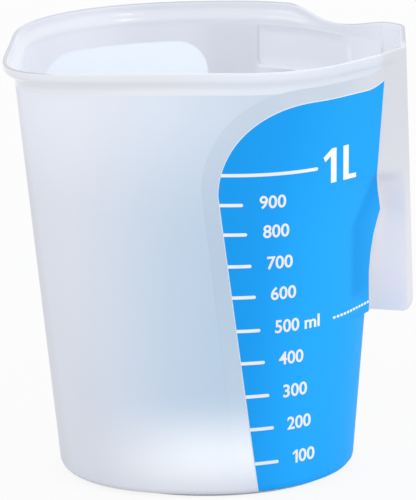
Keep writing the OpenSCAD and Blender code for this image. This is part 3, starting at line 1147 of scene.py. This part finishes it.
def lettering(name, side, glyphs, z, height, thick):
    """Glyphs as a thin solid on the scale side, centred on height z; each glyph is
    its flat points, its faces, its left x and its width"""
    flat, loops = [], []
    for points, faces, x, width in glyphs:
        base = len(flat)
        flat += [(x + px * width, z + (py - 0.5) * height) for px, py in points]
        loops += [[base + k for k in loop] for loop in faces]
    count = len(flat)
    points = [side.point(px, pz, up) for up in (PRINT_LIFT + thick, PRINT_LIFT)
              for px, pz in flat]
    faces, edges = [], {}
    for loop in loops:
        faces.append(loop)
        faces.append([count + k for k in reversed(loop)])
        for a, b in zip(loop, loop[1:] + loop[:1]):
            edges[(a, b)] = True
    for a, b in edges:
        if (b, a) not in edges:
            faces.append([b, a, count + a, count + b])
    return add_mesh(name, points, faces, rounded=False)


class JUG_OT_moulding(bpy.types.Operator):
    """Builds the moulding: base, walls, spout, rim and handle"""

    bl_idname = "jug.moulding"
    bl_label = "Moulding"

    # Where the spout begins and ends, as shares of the way from the far finger rest
    # round the spout side to the near one
    SPOUT_SPAN = (26 / 48, 40 / 48)
    FLOORS = ("base_floor", "foot_ring", "handle_floor")

    def execute(self, context):
        moulding = Moulding(context.scene.jug_shape)
        colours = context.scene.jug_colours
        self.skins = {"frosted_plastic": material(frosted_plastic, colours),
                      "polished_plastic": material(polished_plastic, colours)}
        self.inside = material(inner_plastic, colours)
        self.add_lower(moulding)
        self.add_upper(moulding)
        for name in self.FLOORS:
            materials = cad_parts[name].data.materials
            materials.clear()
            materials.append(self.skins["frosted_plastic"])
        return {"FINISHED"}

    def add_part(self, node, slot, grids, closed=False):
        piece = shell(node + "_skin", *grids, closed)
        finish_piece(piece, slot, self.skins[slot], node, inside=self.inside)

    def add_lower(self, moulding):
        grids = with_normals(*moulding.lower_rows())
        seam, last = moulding.HEEL_ROWS, len(grids[0]) - 1
        for node, first, end in (("heel", 0, seam), ("lower_wall", seam, last)):
            self.add_part(node, "frosted_plastic",
                          [grid[first:end + 1] for grid in grids], True)

    def add_upper(self, moulding):
        outline = moulding.outline
        walls, rims = moulding.upper_rows(), moulding.rim_rows()
        grids = with_normals(*[wall + rim for wall, rim in zip(walls, rims)])
        seam, top = len(walls[0]) - 1, len(grids[0]) - 1
        far, near, n = outline.side_count, outline.near_start, outline.count
        spout = [far + round(outline.WALL_STEPS * share) for share in self.SPOUT_SPAN]
        ledge = outline.edge_step + outline.LEDGE_STEPS
        cheek = ledge + outline.CHEEK_STEPS
        for node, start, stop in (
                ("back_wall", far, spout[0]),
                ("pouring_spout", spout[0], spout[1]),
                ("front_wall", spout[1], near),
                ("near_finger_rest", near, near + ledge),
                ("far_finger_rest", far - ledge, far),
                ("near_cheek", near + ledge, near + cheek),
                ("far_cheek", far - cheek, far - ledge),
                ("grip_plate", near + cheek, n + far - cheek)):
            self.add_part(node, "frosted_plastic",
                          [cut(grid, 0, seam, start, stop) for grid in grids])
        for node, start, stop in (
                ("rear_rim", far, spout[0]),
                ("spout_lip", spout[0], spout[1]),
                ("front_rim", spout[1], near),
                ("handle_rim", near, n + far)):
            self.add_part(node, "polished_plastic",
                          [cut(grid, seam, top, start, stop) for grid in grids])


class JUG_OT_label(bpy.types.Operator):
    """Builds the polished margin, the clear edge, drawn as a painted bright line, and
    the blue film of the label
    """

    bl_idname = "jug.label"
    bl_label = "Label"

    def execute(self, context):
        scene = context.scene
        colours = scene.jug_colours
        side = ScaleSide(Outline(scene.jug_shape))
        margin = film("polished_margin", MARGIN, side, *MARGIN_LIFTS)
        finish_piece(margin, "polished_plastic", material(polished_margin, colours))
        # The clear edge of the film is drawn as a painted bright line in white print
        halo = film("clear_label_edge", HALO, side, *HALO_LIFTS)
        finish_piece(halo, "polished_plastic", material(white_ink, colours))
        label = film("blue_label_film", LABEL, side, LABEL_LIFT,
                     LABEL_LIFT + scene.jug_scale.film / 2)
        finish_piece(label, "blue_label", material(label_blue, colours), "label_film")
        return {"FINISHED"}


class JUG_OT_scale(bpy.types.Operator):
    """Prints the lines and the numerals of the scale"""

    bl_idname = "jug.scale"
    bl_label = "Scale"

    def execute(self, context):
        scene = context.scene
        self.sizes = scene.jug_scale
        self.side = ScaleSide(Outline(scene.jug_shape))
        self.ink = material(white_ink, scene.jug_colours)
        s = self.sizes
        ticks = [self.line(mark_x(share), share, s.tick_length) for _, share in MARKS]
        self.print_piece(join("graduation_marks", ticks), "graduation_lines")
        litre = [self.line(LITRE_X, LITRE_MARK, s.litre_length)]
        self.print_piece(join("one_litre_mark", litre), "litre_line")
        self.print_piece(join("half_litre_dashes", self.dashes()), "half_litre_line")
        self.print_numerals()
        return {"FINISHED"}

    def print_piece(self, piece, *nodes):
        finish_piece(piece, "white_print", self.ink, *nodes)

    def line(self, x, share, length):
        return strip(self.side, x, share * RIM_TOP, length, self.sizes.tick_width,
                     self.sizes.ink)

    def dashes(self):
        """The dashed line from the numeral's end to the finger rest"""
        s, side = self.sizes, self.side
        z = HALF_LITRE_SHARE * RIM_TOP
        half = s.tick_width * DASH_WIDTH_SHARE
        start = side.length_at(z, DASHES_X)
        pitch = (side.line(z)[1][-1] - start) / s.dashes
        return [[[[side.at(z + h, start + pitch * (k + DASH_BEFORE + DASH_SHARE * t), up)
                   for t in steps(3)] for h in (-half, half)]
                 for up in (PRINT_LIFT + s.ink, PRINT_LIFT)] for k in range(s.dashes)]

    def print_numerals(self):
        s = self.sizes
        for order, (volume, share) in enumerate(reversed(MARKS)):
            words, width = str(volume), NUMERAL_WIDTH - NUMERAL_NARROWING * order
            if volume == HALF_LITRE:
                words, width = words + " ml", HALF_LITRE_WIDTH
            x = mark_x(share) + NUMERAL_X + NUMERAL_STEP * (1 - order / (len(MARKS) - 1))
            glyphs = []
            if words[0] == "1":
                words = words[1:]
                glyphs.append((ONE, one_face(ONE), x + ONE_INDENT, ONE_WIDTH))
                x, width = x + width * ONE_SHARE, width * (1 - ONE_SHARE)
            glyphs.append((*words_flat(words, s.numeral_weight), x, width))
            self.print_piece(lettering("numeral_%d" % volume, self.side, glyphs,
                                       share * RIM_TOP + NUMERAL_RISE,
                                       s.numeral_height, s.ink))
        for name, outline, x, width, rise in LITRE_GLYPHS:
            glyph = (outline, one_face(outline), x, width)
            self.print_piece(lettering(name, self.side, [glyph],
                                       LITRE_MARK * RIM_TOP + rise, s.litre_height,
                                       s.ink))


class JUG_OT_stage(bpy.types.Operator):
    """Adds the floor, the light and the camera"""

    bl_idname = "jug.stage"
    bl_label = "Stage"

    PICTURE_WIDTH = 416
    CENTRE_PX = 208.0
    ORIGIN_PX = 206.5
    PX_PER_MM = 2.93
    ELEVATION = math.radians(15.1)
    DISTANCE = 3.9
    AIM_HEIGHT = 73.9 * MM
    SENSOR = 36.0
    CLIP_END = 20.0
    FLOOR_SIZE = 6.0
    FLOOR_GREY = (0.8, 0.8, 0.8)
    FLOOR_WHITENESS = 0.88
    SKY = (0.95, 0.97, 1)
    SKY_STRENGTH = 0.86

    # Name, place, size, power and colour
    LAMPS = (("key", (-0.9, -1.0, 1.3), 0.9, 3.2, (1, 1, 1)),
             ("fill", (1.1, -1.2, 0.7), 1.2, 1.6, (0.96, 0.98, 1)),
             ("back", (0.2, 1.2, 1.1), 1.0, 3.0, (1, 1, 1)),
             ("spark", (1.2, -1.1, 1.9), 0.24, 2.4, (1, 1, 1)))

    def execute(self, context):
        self.add_floor()
        self.add_world(context.scene)
        for lamp in self.LAMPS:
            self.add_lamp(*lamp)
        self.add_camera(context.scene)
        context.scene.view_settings.view_transform = "Standard"
        return {"FINISHED"}

    def add_floor(self):
        half = self.FLOOR_SIZE / 2
        points = [(-half, -half, 0), (half, -half, 0), (half, half, 0), (-half, half, 0)]
        floor = add_mesh("floor", points, [[0, 1, 2, 3]])
        white_floor = bpy.data.materials.new("white floor")
        tree = Tree(white_floor)
        share = self.FLOOR_WHITENESS * tree.seen("Is Glossy Ray")
        diffuse = tree.node("ShaderNodeBsdfDiffuse", None, {"Color": self.FLOOR_GREY})
        white = tree.node("ShaderNodeEmission", None, {"Strength": 1.0})
        shaded = tree.node("ShaderNodeMixShader", None, [share, diffuse, white])
        tree.node("ShaderNodeOutputMaterial", None, [shaded])
        floor.data.materials.append(white_floor)

    def add_world(self, scene):
        scene.world = bpy.data.worlds.new("studio")
        tree = Tree(scene.world)
        soft = tree.node("ShaderNodeBackground", None,
                         {"Color": self.SKY, "Strength": self.SKY_STRENGTH})
        white = tree.node("ShaderNodeBackground", None, {"Strength": 1.0})
        both = tree.node("ShaderNodeMixShader", None,
                         [tree.seen("Is Transmission Ray"), soft, white])
        tree.node("ShaderNodeOutputWorld", None, [both])

    def add_lamp(self, name, place, size, power, colour):
        data = bpy.data.lights.new(name, "AREA")
        data.shape = "DISK"
        data.size = size
        data.energy = power
        data.color = colour
        lamp = bpy.data.objects.new(name, data)
        lamp.location = place
        aim = Vector((0, 0, self.AIM_HEIGHT)) - Vector(place)
        lamp.rotation_euler = aim.to_track_quat("-Z", "Y").to_euler()
        collection().objects.link(lamp)

    def add_camera(self, scene):
        data = bpy.data.cameras.new("camera")
        camera = bpy.data.objects.new("camera", data)
        view = Vector((0, math.cos(self.ELEVATION), -math.sin(self.ELEVATION)))
        aim = Vector(((self.CENTRE_PX - self.ORIGIN_PX) / self.PX_PER_MM * MM, 0,
                      self.AIM_HEIGHT))
        camera.location = aim - view * self.DISTANCE
        camera.rotation_euler = view.to_track_quat("-Z", "Y").to_euler()
        data.sensor_fit = "HORIZONTAL"
        data.sensor_width = self.SENSOR
        data.lens = self.SENSOR * self.DISTANCE / (
            self.PICTURE_WIDTH / self.PX_PER_MM * MM)
        data.clip_end = self.CLIP_END
        collection().objects.link(camera)
        scene.camera = camera


class JUG_PT_panel(bpy.types.Panel):
    """Lists the steps that build the jug"""

    bl_idname = "JUG_PT_panel"
    bl_label = "Measuring jug"
    bl_space_type = "VIEW_3D"
    bl_region_type = "UI"
    bl_category = "Jug"

    def draw(self, context):
        for group in (context.scene.jug_shape, context.scene.jug_scale,
                      context.scene.jug_colours):
            box = self.layout.box()
            for name in group.__annotations__:
                box.prop(group, name)
        for operator in OPERATORS:
            self.layout.operator(operator.bl_idname)


OPERATORS = (JUG_OT_moulding, JUG_OT_label, JUG_OT_scale, JUG_OT_stage)
CLASSES = (JugShape, JugScale, JugColours, *OPERATORS, JUG_PT_panel)


def register():
    for item in CLASSES:
        bpy.utils.register_class(item)
    bpy.types.Scene.jug_shape = PointerProperty(type=JugShape)
    bpy.types.Scene.jug_scale = PointerProperty(type=JugScale)
    bpy.types.Scene.jug_colours = PointerProperty(type=JugColours)


def unregister():
    del bpy.types.Scene.jug_colours
    del bpy.types.Scene.jug_scale
    del bpy.types.Scene.jug_shape
    for item in reversed(CLASSES):
        bpy.utils.unregister_class(item)


def main():
    register()
    bpy.ops.jug.moulding()
    bpy.ops.jug.label()
    bpy.ops.jug.scale()
    bpy.ops.jug.stage()


if __name__ == "__main__":
    main()
